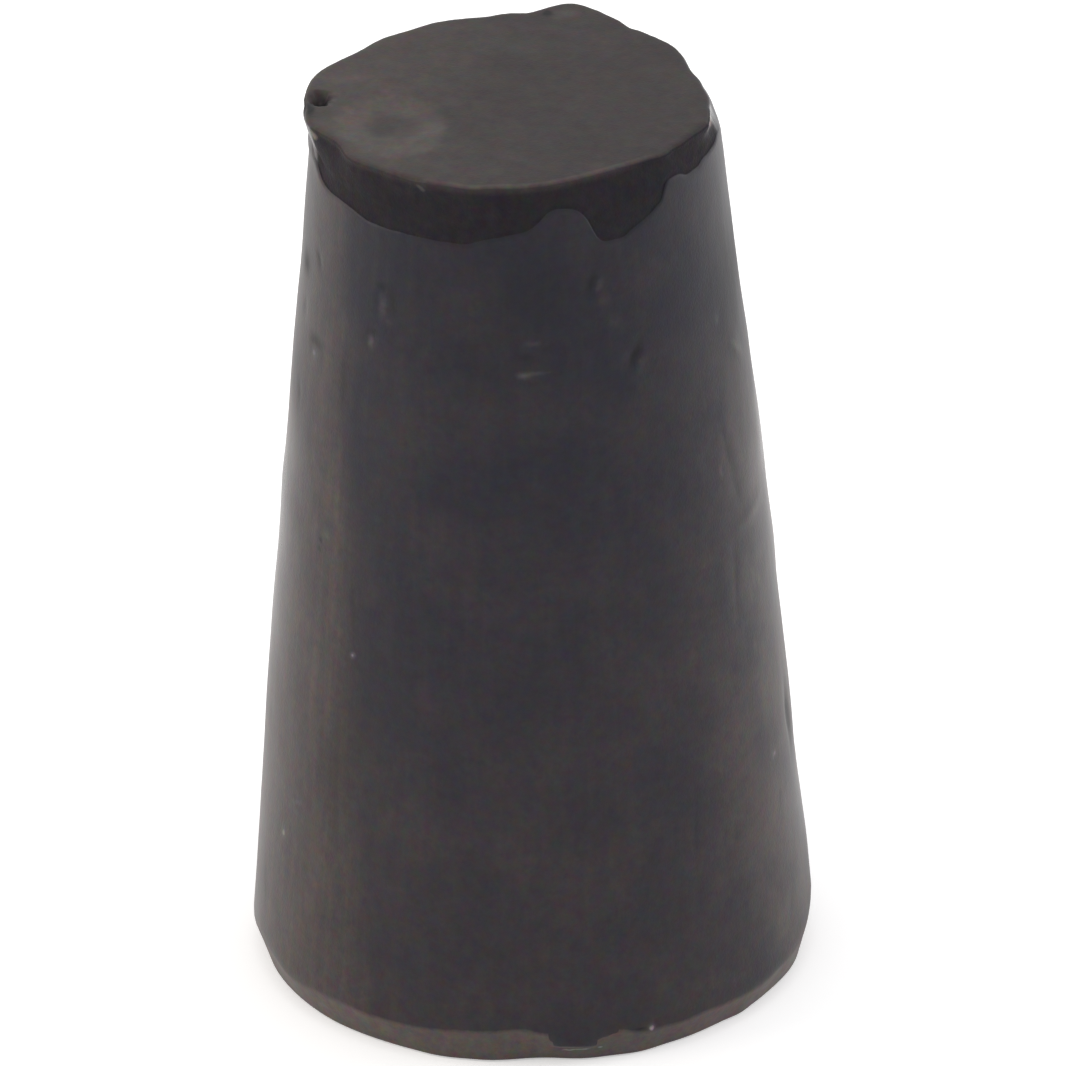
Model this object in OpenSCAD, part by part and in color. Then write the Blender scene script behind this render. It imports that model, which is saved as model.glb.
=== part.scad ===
// Tapered rubber stopper, one solid moulding that stands on its large face.
// Its small end was torn off the moulding sheet, so the rim there is off centre, lipped and ragged.
// Bearings are degrees round the stopper, from the front (-Y) towards the right (+X).

/* [Body] */
// Height from the large face to the small face
height = 25; // [18:0.5:40]
// Diameter at the top of the large end's bevel
large_d = 15; // [13:0.1:30]
// Diameter that the taper reaches at the small face
small_d = 10.6; // [9:0.1:12.8]

/* [Large end] */
// Height of the trimmed bevel around the large face
bevel_height = 0.9; // [0.5:0.05:2.5]
// How far the bevel reaches in at the large face
bevel_inset = 0.35; // [0.1:0.05:1.5]
// Bearing of the tag of rubber that trimming left on the bevel
tag_bearing = 9; // [-180:1:180]
// Angle that the tag spans
tag_span = 11; // [4:1:40]
// Height of the tag's lower edge above the large face
tag_bottom = 0.45; // [0.1:0.05:0.45]

/* [Torn rim] */
// How far the rim sits to the left, from mould halves that met off centre
rim_offset = 0.33; // [0:0.01:0.6]
// Thickness of the lip around the small face
lip_thickness = 0.2; // [0.12:0.02:0.24]
// Rounding of the lip's two edges
lip_round = 0.05; // [0.02:0.01:0.05]
// How far the moulded skin stands proud of the torn band
skin_thickness = 0.08; // [0.05:0.01:0.3]
// Depth of the torn band below the small face, where it is deepest
tear_depth = 1.8; // [1.5:0.05:3.5]

/* [Small face] */
// Radius of the sphere that the shallow dish is part of
dish_sphere_r = 12; // [6:0.5:30]
// Depth of the dish
dish_depth = 0.1; // [0.02:0.01:0.3]
// Distance of the dish from the stopper's axis
dish_distance = 3.4; // [0:0.1:4]
// Bearing of the dish
dish_bearing = -72; // [-180:1:180]
// Radius of the nick in the rim
nick_r = 0.32; // [0.1:0.02:0.5]
// Bearing of the nick
nick_bearing = -95; // [-180:1:180]

/* [Hidden] */

$fn = 96;

// Columns of points around the torn rim
columns = 120;

// Where the rim's outline leaves a circle: [bearing, half of the width in degrees, change of radius]
rim_swells = [
    [-168, 45, -0.3],
    [-128, 36, -0.33],
    [-64, 26, -0.22],
    [30, 26, -0.2],
    [70, 18, 0.24],
    [105, 20, -0.18],
    [163, 16, 0.68]
];

// The ragged line at which the skin tore: [bearing, share of the deepest depth]
tear_line = [
    [-180, 0.45],
    [-150, 0.4],
    [-120, 0.45],
    [-100, 0.5],
    [-88, 0.36],
    [-80, 0.5],
    [-75, 0.64],
    [-66, 0.82],
    [-43, 0.92],
    [-17, 0.92],
    [-4, 0.77],
    [3, 0.69],
    [7.5, 0.5],
    [12.5, 0.38],
    [17.5, 0.46],
    [23, 0.93],
    [27, 1],
    [33, 0.92],
    [41, 0.77],
    [48.5, 0.39],
    [58, 0.49],
    [67, 0.39],
    [77, 0.46],
    [90, 0.4],
    [120, 0.4],
    [150, 0.4],
    [180, 0.45]
];

// Share of the way from the lip to the skin at which the torn surface is narrowest
waist_share = 0.65;

// How far the rim's own solid reaches into the body, and a cutter past the face it cuts
reach = 1;

// How far the tag stops short of the full diameter, so that it ends on the bevel
tag_shortfall = 0.03;

taper = (small_d - large_d) / 2 / (height - bevel_height);
base_r = large_d / 2 - bevel_inset;
tag_r = large_d / 2 - tag_shortfall;
lip_bottom = height - lip_thickness;
bearings = [for (i = [0 : columns - 1]) 360 * i / columns - 180];

// The point at a bearing, a distance from the axis and a height
function polar(bearing, radius, z) = [radius * sin(bearing), -radius * cos(bearing), z];

// The angle between two bearings, 0 to 180
function angle_between(a, b) = abs((a - b + 540) % 360 - 180);

// One swell's change at a bearing: a smooth bump that ends at its half width
function swell(bearing, part) =
    part[2] * (1 + cos(180 * min(1, angle_between(bearing, part[0]) / part[1]))) / 2;

// Radius of the rim's outline at a bearing
function rim_r(bearing) =
    small_d / 2 + [for (part = rim_swells) swell(bearing, part)] * [for (part = rim_swells) 1];

// Radius of the tapered side at a height
function side_r(z) = large_d / 2 + taper * (z - bevel_height);

// Height at which the torn band meets the moulded skin
function tear_z(bearing) = height - tear_depth * lookup(bearing, tear_line);

// A point of the rim's outline, moved in by an inset
function rim_point(bearing, inset, z) =
    polar(bearing, rim_r(bearing) - inset, z) - [rim_offset, 0, 0];

// A point of the torn surface, where it runs under the skin
function torn_point(bearing, z) = polar(bearing, side_r(z) - skin_thickness, z);

// One closed solid from rings of points, lowest first and each anticlockwise from above
module loft(rings, floor_middle, roof_middle) {
    n = len(rings[0]);
    top = (len(rings) - 1) * n;
    middle = len(rings) * n;
    walls = [
        for (k = [0 : len(rings) - 2], i = [0 : n - 1])
            let (a = k * n + i, b = k * n + (i + 1) % n)
            each [[a, a + n, b + n], [a, b + n, b]]
    ];
    floor_fan = [for (i = [0 : n - 1]) [i, (i + 1) % n, middle]];
    roof_fan = [for (i = [0 : n - 1]) [top + i, middle + 1, top + (i + 1) % n]];
    polyhedron(
        [for (ring = rings) each ring, floor_middle, roof_middle],
        concat(walls, floor_fan, roof_fan)
    );
}

// The tapered body with its bevelled large end, up to the small face
module tapered_body() {
    rotate_extrude()
        polygon([
            [0, 0],
            [base_r, 0],
            [large_d / 2, bevel_height],
            [small_d / 2, height],
            [0, height]
        ]);
}

// Everything above the ragged line where the moulded skin was torn away
module above_tear() {
    middle_z = height - tear_depth;
    spread = 1 + reach / side_r(middle_z);
    ring = [
        for (b = bearings)
            polar(b, spread * side_r(tear_z(b)), middle_z + spread * (tear_z(b) - middle_z))
    ];
    lid = [for (point = ring) [point[0], point[1], height + reach]];
    loft([ring, lid], [0, 0, middle_z], [0, 0, height + reach]);
}

// The torn band and the lip above it, with the small face on top
module torn_rim() {
    root = [for (b = bearings) polar(b, side_r(tear_z(b)) - reach, tear_z(b) - reach)];
    foot = [for (b = bearings) torn_point(b, tear_z(b) - skin_thickness)];
    waist = [for (b = bearings) torn_point(b, lip_bottom + waist_share * (tear_z(b) - lip_bottom))];
    lip = [
        for (edge = [
            [lip_round, lip_bottom],
            [0, lip_bottom + lip_round],
            [0, height - lip_round],
            [lip_round, height]
        ])
            [for (b = bearings) rim_point(b, edge[0], edge[1])]
    ];
    loft(
        concat([root, foot, waist], lip),
        [0, 0, height - tear_depth - reach],
        [-rim_offset, 0, height]
    );
}

// A tag of rubber that fills the bevel out almost to the full diameter
module trim_tag() {
    rotate(tag_bearing - tag_span / 2 - 90)
        rotate_extrude(angle = tag_span)
            polygon([
                [base_r - reach, tag_bottom],
                [tag_r, tag_bottom],
                [tag_r, bevel_height],
                [base_r - reach, bevel_height]
            ]);
}

// The shallow dish in the small face
module dish() {
    translate(polar(dish_bearing, dish_distance, height + dish_sphere_r - dish_depth))
        sphere(dish_sphere_r);
}

// The nick in the rim
module nick() {
    translate(rim_point(nick_bearing, 0, height))
        sphere(nick_r);
}

module stopper() {
    color([0.2, 0.2, 0.21])
        difference() {
            union() {
                difference() {
                    tapered_body();
                    above_tear();
                }
                torn_rim();
                trim_tag();
            }
            dish();
            nick();
        }
}

stopper();
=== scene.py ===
import math

import bpy
from bpy.props import FloatProperty, FloatVectorProperty, IntProperty, PointerProperty
from mathutils import Matrix, Vector


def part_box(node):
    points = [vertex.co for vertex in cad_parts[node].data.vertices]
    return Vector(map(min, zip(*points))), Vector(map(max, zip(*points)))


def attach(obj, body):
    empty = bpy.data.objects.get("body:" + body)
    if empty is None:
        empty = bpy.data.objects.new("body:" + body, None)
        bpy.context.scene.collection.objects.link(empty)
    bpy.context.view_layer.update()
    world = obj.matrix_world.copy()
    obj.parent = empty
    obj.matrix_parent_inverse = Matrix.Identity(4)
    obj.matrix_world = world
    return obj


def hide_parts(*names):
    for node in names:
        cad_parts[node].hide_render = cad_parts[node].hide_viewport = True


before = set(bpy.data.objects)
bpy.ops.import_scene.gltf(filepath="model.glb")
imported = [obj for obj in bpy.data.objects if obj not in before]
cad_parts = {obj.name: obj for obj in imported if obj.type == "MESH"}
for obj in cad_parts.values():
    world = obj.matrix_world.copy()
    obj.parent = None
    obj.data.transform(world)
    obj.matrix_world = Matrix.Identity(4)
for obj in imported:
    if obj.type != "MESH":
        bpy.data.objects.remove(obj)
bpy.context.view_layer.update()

bl_info = {
    "name": "Tapered rubber stopper",
    "version": (1, 0, 0),
    "blender": (4, 5, 0),
    "location": "3D View > Sidebar > Stopper",
    "description": "Makes a moulded rubber stopper with a torn rim, and a plain stage for it",
    "category": "Add Mesh",
}

NODE = "stopper"
MM = 0.001
LOW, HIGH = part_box(NODE)

# Bearings are degrees round the stopper, from the front (-Y) towards the right (+X).

# Rows of the skin between one ring and the next, from the large face's middle to the small face's.
ROWS = {
    "large_face": 8,
    "bevel": 16,
    "side": 146,
    "skin_edge": 2,
    "torn_low": 9,
    "torn_high": 12,
    "lip_turn": 2,
    "lip_side": 2,
    "lip_edge": 4,
    "small_face": 38,
}

# The side's rows are closer together towards the small end, by this share of their spacing.
ROW_CROWDING = 0.3

# Points closer than this are one point, in millimetres.
MERGE_DISTANCE = 0.0005

# Swells of an outline: bearing, half of the width in degrees, change in millimetres.
RIM_SWELLS = (
    (-168, 45, -0.3),
    (-162, 26, 0.07),
    (-147, 14, -0.06),
    (-142, 10, 0.06),
    (-137, 12, 0.05),
    (-128, 36, -0.33),
    (-118, 14, 0.06),
    (-112, 12, 0.1),
    (-104, 14, 0.1),
    (-90, 9, 0.05),
    (-88, 10, -0.03),
    (-76, 14, 0.19),
    (-64, 26, -0.24),
    (-52, 10, 0.13),
    (-38, 10, -0.06),
    (-20, 5, 0.04),
    (-11, 8, 0.09),
    (30, 26, -0.2),
    (50, 6, 0.09),
    (65, 8, -0.1),
    (70, 18, 0.24),
    (83, 9, 0.03),
    (90, 8, 0.06),
    (101, 9, 0.07),
    (105, 20, -0.18),
    (128, 24, 0.09),
    (150, 10, 0.31),
    (162, 14, 0.79),
    (178, 9, 0.12),
)
# The same for the narrowest part of the torn band, under the lip.
WAIST_SWELLS = ((-90, 18, 0.16), (92, 26, -0.08))
# The same for the edge of the large face.
FOOT_SWELLS = (
    (-150, 20, 0.05),
    (-60, 16, -0.03),
    (-35, 14, -0.03),
    (-20, 8, 0.05),
    (-1, 11, -0.15),
    (0, 100, 0.11),
    (4, 10, -0.1),
    (22, 8, 0.07),
    (42, 8, -0.03),
    (49, 5, 0.04),
    (74, 16, 0.08),
    (140, 14, -0.06),
)
# The same for the height of the bevel's upper edge.
BEVEL_SWELLS = (
    (-140, 20, 0.08),
    (-92, 18, -0.17),
    (-75, 22, 0.12),
    (-61, 11, -0.13),
    (-44, 7, 0.04),
    (-17, 8, 0.05),
    (-5, 16, 0.15),
    (-3, 5, 0.07),
    (22.5, 6, -0.1),
    (25.5, 9, -0.1),
    (32, 6, -0.08),
    (50, 36, -0.19),
    (61, 8, 0.05),
    (92, 24, 0.26),
    (150, 30, -0.1),
)

# The ragged line at which the skin tore: bearing, share of the torn band's depth.
TEAR_LINE = (
    (-180, 0.55),
    (-150, 0.45),
    (-120, 0.5),
    (-103, 0.6),
    (-95, 0.36),
    (-87, 0.34),
    (-80, 0.5),
    (-75, 0.64),
    (-71, 0.76),
    (-66, 0.82),
    (-55, 0.84),
    (-43, 0.92),
    (-17, 0.92),
    (-10, 0.84),
    (-4, 0.77),
    (2.5, 0.69),
    (7.5, 0.5),
    (12.5, 0.38),
    (17.5, 0.46),
    (21, 0.73),
    (23, 0.93),
    (27, 1.01),
    (33, 0.92),
    (41, 0.77),
    (45.5, 0.62),
    (48.5, 0.39),
    (53, 0.4),
    (58, 0.49),
    (63, 0.49),
    (67, 0.45),
    (72, 0.46),
    (77, 0.46),
    (82, 0.43),
    (90, 0.52),
    (97, 0.58),
    (120, 0.6),
    (150, 0.45),
    (180, 0.55),
)
# Where the skin reaches the lip without a torn band: bearing, half of the width, share.
TEAR_GAPS = ((-84, 14, 1.9), (101, 30, 1.9))
# Share of the way from the lip to the skin at which the torn surface is narrowest.
WAIST_SHARE = 0.65
# How far above the skin's edge the torn surface starts, as a share of its recess.
EDGE_SLOPE = 0.5
# How far the lip's lower edge draws in, as a share of its rounding.
LIP_TUCK = 0.2

# Height at which the body starts to lean, in millimetres.
BEND_START = 8

# The tag on the bevel, in degrees and millimetres.
TAG_BEARING = 8.1
TAG_SPAN = 9.0
TAG_BOTTOM = 0.54
# How far its lower edge falls to the right, in millimetres per degree.
TAG_TILT = 0.009
# The heights between which it flares, how much wider it gets and how far it leans right.
TAG_FLARE = 0.66
TAG_TOP = 0.9
TAG_SPREAD = 4.6
TAG_LEAN = 2.0

# The dish in the small face and the nick in its rim, in degrees and millimetres.
DISH_BEARING = -72
DISH_DISTANCE = 3.4
DISH_RADIUS = 1.55
DISH_DEPTH = 0.1
NICK_BEARING = -92
NICK_DISTANCE = 5.24
NICK_WIDTH = 0.25
NICK_LENGTH = 0.5
NICK_DEPTH = 0.3

# How far the stored measures run on past each edge, in millimetres, and the lip's share before its edge.
PAST_SIDE = 2
PAST_SKIN = 0.1
PAST_LIP = 0.1
PAST_FACE = 5
BEFORE_LIP = 0.3

# Noise by its name: size of the blotches in millimetres, seed, detail, roughness. The three lines
# are taken on a circle of radius 1 round the axis, so their size is a share of it.
NOISES = {
    "bevel_line": (0.25, 5, 3, 0.5),
    "tear_line": (0.1, 3, 4, 0.6),
    "rim_line": (0.15, 8, 3, 0.5),
    "outlines": (0.3, 21, 1, 0.5),
    "broad_waves": (3.5, 1, 2, 0.5),
    "small_waves": (0.9, 2, 2, 0.5),
    "face_waves": (2.2, 6, 2, 0.5),
    "torn_grain": (0.45, 4, 3, 0.6),
    "fine": (0.12, 11, 2, 0.5),
    "clouds": (2.4, 12, 3, 0.5),
    "streaks": (0.35, 13, 3, 0.6),
    "ring": (0.9, 14, 3, 0.5),
    "grain": (0.07, 15, 2, 0.5),
    "blotches": (0.8, 16, 4, 0.65),
    "mottle": (0.3, 17, 4, 0.75),
    "dust": (0.4, 18, 2, 0.5),
}
# How far noise moves the lines and the surface, from end to end in millimetres.
SWINGS = {
    "bevel_line": 0.1,
    "tear_line": 0.11,
    "rim_line": 0.03,
    "broad_waves": 0.06,
    "small_waves": 0.016,
    "face_waves": 0.06,
    "torn_grain": 0.09,
}
# How far it moves the outlines of marks, and the edges of the torn and of the trimmed colour.
WANDER = 0.15
TEAR_BLUR = 0.12
TRIM_BLUR = 0.06

# Smooth steps: the value at which each starts and the one at which it is full, in millimetres,
# degrees, shares or noise. Where a step isn't from 0 to 1, its two ends follow.
FADES = {
    # The tag's ends, its underside, and its top at the bevel's upper edge.
    "tag_ends": (-0.3, 0.4),
    "tag_under": (-0.05, 0),
    "tag_over": (0, 0.001),
    # Where the surface of each part is pressed in or raised.
    "above_bevel": (0, 0.1),
    "below_tear": (0.02, -0.05),
    "on_face": (0, 0.1),
    "off_foot": (0, 0.2),
    "nick": (0, 0.6),
    # Where each part's colour starts.
    "torn": (-0.03, 0.06),
    "torn_share": (0.2, 0.6),
    "face": (-0.02, 0.03),
    "trimmed": (-0.08, 0.06, 1, 0),
    # The bloom: in general, and in the left patch and in the right one, which are painted sheen as well
    # as bloom.
    "cloud_bloom": (0.35, 0.75),
    "streak_bloom": (0.45, 0.7),
    # Paler towards the foot.
    "paler_towards_foot": (22, 0, 0, 0.15),
    "left_sheen_back": (-60, -45),
    "left_sheen_top": (19, 22, 1, 0.75),
    "left_sheen_streaks": (0.4, 0.7),
    "right_sheen_width": (60, 20),
    "right_sheen_top": (20, 12.5),
    "right_sheen_clouds": (0.3, 0.6),
    # The small face: its ring, its paler left and back, and the painted highlight line inside the rim.
    "ring_inside": (0.25, 0.7),
    "ring_outside": (1.12, 0.86),
    "face_left": (1, -5),
    "face_back": (2, 5),
    "rim_highlight_outside": (0, 0.05),
    "rim_highlight_inside": (0.24, 0.12),
    "rim_highlight_width": (42, 28),
    # The painted highlight along the lip's lower edge, which has a stretch without it, and the dust in
    # the torn band.
    "lip_highlight": (24.72, 24.97),
    "unlit_stretch": (16, 28),
    "band_dust": (0.4, 0.75),
}

# How strong each part of the bloom is, the left and right patches holding painted sheen too.
BLOOM_AND_SHEEN = {"clouds": 0.16, "streaks": 0.05, "left": 0.26, "left_sheen_streaks": 0.16, "right": 0.3}
# The left patch of bloom and painted sheen, in degrees: its middle, its right edge at the foot, how far
# that edge draws in with each millimetre up, and how far the patch reaches over it and fades inside it.
LEFT_SHEEN_PATCH = -90
LEFT_SHEEN_EDGE = 53.6
LEFT_SHEEN_SLOPE = 0.806
LEFT_SHEEN_OVER = 4
LEFT_SHEEN_INSIDE = 6
# The middle of the right patch of bloom and painted sheen.
RIGHT_SHEEN_PATCH = 92
# How much the streaks are drawn out upwards, as the share left of their height's change.
STREAK_STRETCH = 0.05

# The dried ring in the dish: its middle's X and Y, its half width and half depth, and how far noise
# moves its outline, as a share.
STAIN_MIDDLE = (-3.35, -1.5)
STAIN_SIZE = (1.4, 1.95)
STAIN_WANDER = 0.36
# How much paler each of these makes the small face, and the bearing of the painted highlight line's
# middle.
FACE_TONES = {"left": 0.36, "back": 0.1, "clouds": 0.5, "blotches": 0.6, "line": 0.5, "ring": 0.4}
RIM_HIGHLIGHT_BEARING = 10
# How strong the painted highlight on the lip and the dust in the torn band are, and the bearing of the
# middle of the lip's stretch without the highlight.
LIP_HIGHLIGHT = 0.3
BAND_DUST = 0.06
UNLIT_BEARING = 58

# How much the rubber's colour varies from speck to speck, as a share.
MOTTLE = 1.8
# The skin's roughness, and what the other parts and the streaks add to it.
ROUGHNESS = {"skin": 0.385, "torn": 0.5, "face": 0.14, "trimmed": 0.12, "streaks": 0.1}
SPECULAR = 0.22
# The fine relief: its strength, its depth in millimetres, how much stronger the grain is on torn
# rubber, and how strong the streaks are beside it.
BUMP_STRENGTH = 0.5
BUMP_DEPTH = 0.012
TORN_BUMP = 3
STREAK_BUMP = 0.6

# Broad swells of the side: bearing, height, half width, half height, lean, rise in millimetres.
SIDE_SWELLS = (
    (-92, 23.92, 2.0, 0.3, 0, 0.055),
    (-90, 22.2, 3.5, 2.0, 0, 0.03),
    (-90, 17.5, 4.0, 4.5, 0, 0.09),
    (-90, 13.8, 3.5, 1.6, 0, 0.05),
    (-90, 10.5, 4.0, 6.0, 0, 0.075),
    (-90, 8.0, 4.0, 8.0, 0, 0.07),
    (92, 17.7, 2.6, 1.4, 0, 0.03),
    (92, 15.2, 3.2, 2.4, 0, 0.07),
    (92, 12.6, 3.0, 2.0, 0, 0.03),
    (92, 11.9, 2.8, 1.2, 0, 0.03),
    (92, 10.0, 4.0, 9.0, 0, 0.04),
    (92, 5.4, 3.4, 1.8, 0, -0.02),
    (92, 2.6, 3.0, 1.6, 0, 0.03),
    (160, 8.0, 3.5, 3.0, 0, -0.05),
    (-150, 17.0, 3.0, 2.2, 0, -0.04),
)
# Pits and small marks: bearing, height, half width, half height, lean, rise in millimetres.
SIDE_PITS = (
    # The burr on the lip.
    (-27, 24.84, 0.3, 0.2, 0, 0.08),
    # The front.
    (19.4, 22.15, 0.22, 0.5, 28, -0.04),
    (-39.0, 21.3, 0.4, 0.6, -8, -0.04),
    (2.6, 20.62, 0.3, 0.18, 0, 0.015),
    (0.5, 20.25, 0.35, 0.25, 0, -0.03),
    (-43.1, 20.2, 0.25, 0.35, 8, -0.04),
    (30.7, 19.87, 0.24, 0.55, 29, -0.05),
    (-0.1, 19.72, 0.25, 0.18, 0, 0.03),
    # The left.
    (-68.5, 21.4, 0.16, 0.4, -36, -0.018),
    (-76.5, 19.7, 0.25, 0.5, 0, -0.012),
    (-67.8, 19.0, 0.35, 0.4, 0, -0.03),
    (-75.9, 17.24, 0.2, 0.5, -10, -0.012),
    # The right.
    (72.4, 18.5, 0.3, 0.9, -45, 0.03),
    (61.5, 15.6, 0.35, 1.8, -12, -0.02),
    (69.5, 13.72, 0.3, 1.1, 80, 0.03),
    (57.3, 12.44, 0.3, 1.3, 8, -0.015),
    (81, 7.1, 0.34, 1.2, -4, -0.06),
)
# Smooth and dull patches: bearing, height, half width, half height, lean, roughness taken off.
SIDE_POLISH = (
    # The lip.
    (-89, 24.85, 0.5, 0.3, 0, -0.4),
    (79, 24.68, 1.1, 0.36, 0, 0.45),
    (-79, 24.6, 0.9, 0.5, 0, 0.12),
    # The left.
    (-78.3, 20.9, 0.45, 0.45, 0, -0.14),
    (-66.0, 19.1, 0.45, 0.35, 0, -0.16),
    (-76, 17.2, 1.6, 1.6, 0, -0.06),
    (-90, 14.2, 3.5, 3.2, 0, 0.12),
    (-90, 10.8, 3.5, 3.2, 0, 0.1),
    (-47.5, 8.0, 1.3, 3.2, 9, -0.08),
    (-90, 5.0, 3.5, 3.0, 0, 0.04),
    (-90, 1.4, 3.5, 1.2, 0, 0.04),
    # The right.
    (90, 20.5, 4.0, 2.2, 0, -0.1),
    (68, 18.5, 1.3, 3.0, 0, -0.06),
    (56, 16.6, 1.3, 1.8, 0, -0.08),
    (88, 16.0, 1.2, 1.0, 0, 0.09),
    (90, 14.8, 3.5, 1.3, 0, 0.13),
    (90, 12.4, 3.5, 2.4, 0, 0.08),
    (90, 4.3, 3.5, 1.8, 0, 0.07),
    (90, 1.4, 3.5, 1.2, 0, -0.08),
)
# Tints of the side: bearing, height, half width, half height, lean, pale above 0 or dark below. Besides
# stains and scuffs, they paint shade into pits, scores and the nick, and highlights onto the lit sides
# of marks and edges.
# Above 1 is pale and shows on torn and trimmed rubber too: a dust fleck, and on the lip's sides and
# under the tag a painted highlight.
SIDE_TINTS = (
    # The oval dent and the pit below it, with painted shade on their walls and painted highlights inside
    # them.
    (-40.5, 21.68, 0.24, 0.15, 0, -0.8),
    (-36.8, 21.3, 0.19, 0.5, -10, -0.95),
    (-40.2, 21.16, 0.17, 0.45, 0, 0.6),
    (-37.8, 20.75, 0.22, 0.16, 0, 0.15),
    (-42.2, 20.33, 0.17, 0.17, 0, -0.8),
    (-43.5, 20.05, 0.15, 0.27, 0, 0.75),
    # Scores on the right of the front, with painted shade in them and painted highlights beside them.
    (19.2, 22.2, 0.18, 0.42, 25, -0.8),
    (21.4, 22.08, 0.15, 0.28, 25, 0.35),
    (22.4, 21.62, 0.26, 0.26, 0, 0.2),
    (25.0, 20.95, 0.3, 0.26, 0, 0.18),
    (30.6, 19.87, 0.2, 0.5, 29, -0.95),
    (27.6, 19.85, 0.18, 0.32, 20, 0.14),
    (32.5, 19.6, 0.16, 0.3, 25, 0.2),
    # The short pale mark in front, with the spots and the darker skin above it.
    (0.0, 22.0, 1.8, 1.2, 0, -0.2),
    (2.5, 20.64, 0.3, 0.13, 0, 0.35),
    (-10.0, 20.4, 1.6, 2.0, 0, -0.16),
    (0.9, 20.26, 0.36, 0.24, 0, -0.55),
    (4.3, 19.81, 0.4, 0.06, 0, 0.18),
    (2.0, 19.79, 0.45, 0.07, 0, 0.32),
    (0.0, 19.74, 0.22, 0.14, 0, 0.95),
    # The lip, the torn band and the lobe in its lower line, with painted shade under the nick, a burr,
    # painted highlights on the lip's sides and a painted glint on the lobe's right edge.
    (-88, 24.85, 0.45, 0.3, 0, -1.0),
    (-28.2, 24.8, 0.75, 0.4, 20, 1.13),
    (-74.5, 24.75, 0.5, 0.3, 0, 1.45),
    (78.5, 24.68, 0.95, 0.3, 0, 1.8),
    (-36.0, 24.1, 2.4, 0.6, 0, -0.25),
    (21.0, 24.0, 0.3, 0.3, 0, 0.3),
    (21.2, 23.8, 0.1, 0.32, -12, 0.9),
    # The left, from the top down: darker and paler patches, a dark line along the painted sheen's edge,
    # and painted shade in the pits with painted highlights beside them.
    (-82.0, 21.5, 1.2, 2.8, 0, -0.45),
    (-68.5, 21.42, 0.16, 0.38, -36, -0.8),
    (-77.0, 20.8, 0.35, 0.3, 0, -0.5),
    (-76.5, 19.7, 0.2, 0.45, 0, -0.6),
    (-67.5, 19.1, 0.45, 0.3, 0, -0.6),
    (-68.0, 18.76, 0.22, 0.24, -20, 1.35),
    (-52.8, 18.5, 0.2, 1.3, -4, -0.5),
    (-80.0, 17.8, 0.9, 1.0, 0, -0.3),
    (-75.9, 17.24, 0.17, 0.5, -10, -0.7),
    (-60.4, 14.7, 0.55, 0.55, 0, -0.3),
    (-78.8, 14.5, 0.9, 0.7, 0, 0.3),
    (-56.0, 13.99, 0.18, 0.15, 0, 0.5),
    (-58.5, 13.73, 0.12, 0.12, 0, -0.7),
    (-59.1, 13.47, 0.12, 0.13, 0, -0.6),
    (-45.7, 12.5, 0.12, 1.2, -5, -0.35),
    (-44.8, 10.97, 0.13, 0.11, 0, 1.5),
    (-83.0, 8.7, 0.35, 0.45, -15, -0.5),
    (-47.5, 8.0, 1.1, 3.2, 9, -0.42),
    (-62.1, 5.87, 0.28, 0.1, -20, 0.8),
    (-67.2, 4.7, 0.2, 0.28, 25, 1.4),
    (-44.0, 3.6, 1.2, 2.0, 0, -0.15),
    (-76.3, 2.7, 0.18, 1.0, -12, -0.5),
    # The right, from the top down: broad dark patches that take down the painted sheen, scuffs, and
    # painted shade in the pits with painted highlights on the raised marks.
    (80.0, 20.5, 1.3, 3.5, 0, -0.6),
    (66.0, 20.4, 1.7, 2.8, 0, -0.3),
    (62.9, 19.7, 0.2, 0.26, 0, 0.6),
    (72.4, 18.5, 0.2, 0.7, -45, 0.9),
    (65.6, 18.0, 0.35, 0.6, 0, 0.25),
    (65.0, 16.3, 0.45, 1.3, -10, 0.25),
    (61.0, 16.0, 0.15, 1.0, -11, -0.4),
    (57.1, 15.6, 0.12, 0.25, -10, 0.6),
    (64.1, 14.64, 0.13, 0.55, -20, -0.35),
    (69.5, 13.72, 0.2, 1.0, 81, 0.75),
    (57.6, 12.2, 0.17, 1.4, 8, 0.42),
    (66.9, 12.03, 0.12, 0.3, -5, 0.5),
    (63.5, 12.0, 0.55, 1.4, 6, 0.35),
    (70.4, 11.78, 0.14, 0.3, -16, 0.5),
    (84.0, 11.3, 0.8, 1.9, 0, 0.3),
    (64.3, 10.11, 0.14, 0.28, -8, 0.4),
    (68.4, 9.76, 0.16, 0.36, 0, 0.4),
    (66.0, 8.8, 0.6, 1.1, 0, 0.3),
    (81.0, 7.1, 0.32, 1.1, -4, -1.2),
    (68.4, 6.72, 0.19, 0.17, 0, 1.3),
    (38.6, 6.18, 0.1, 1.0, 5, -0.3),
    (69.5, 5.36, 0.16, 0.65, 11, -0.4),
    (77.5, 4.8, 0.9, 1.1, -8, 0.3),
    (86.0, 2.6, 0.5, 0.9, -5, -0.5),
    # The bevel and the tag on it, with a painted highlight line under the tag.
    (21.9, 0.84, 0.22, 0.05, 0, -0.8),
    (24.2, 0.79, 0.12, 0.16, 0, 1.9),
    (-50, 0.45, 1.4, 0.4, 0, 1.06),
    (57, 0.45, 1.6, 0.4, 0, 1.12),
    (10.7, 0.4, 0.14, 0.08, 0, 0.6),
    (13.7, 0.4, 0.12, 0.07, 0, 1.3),
    (8.4, 0.38, 0.85, 0.06, 0, 1.45),
    (6.6, 0.37, 0.2, 0.06, 0, 0.4),
)
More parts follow.
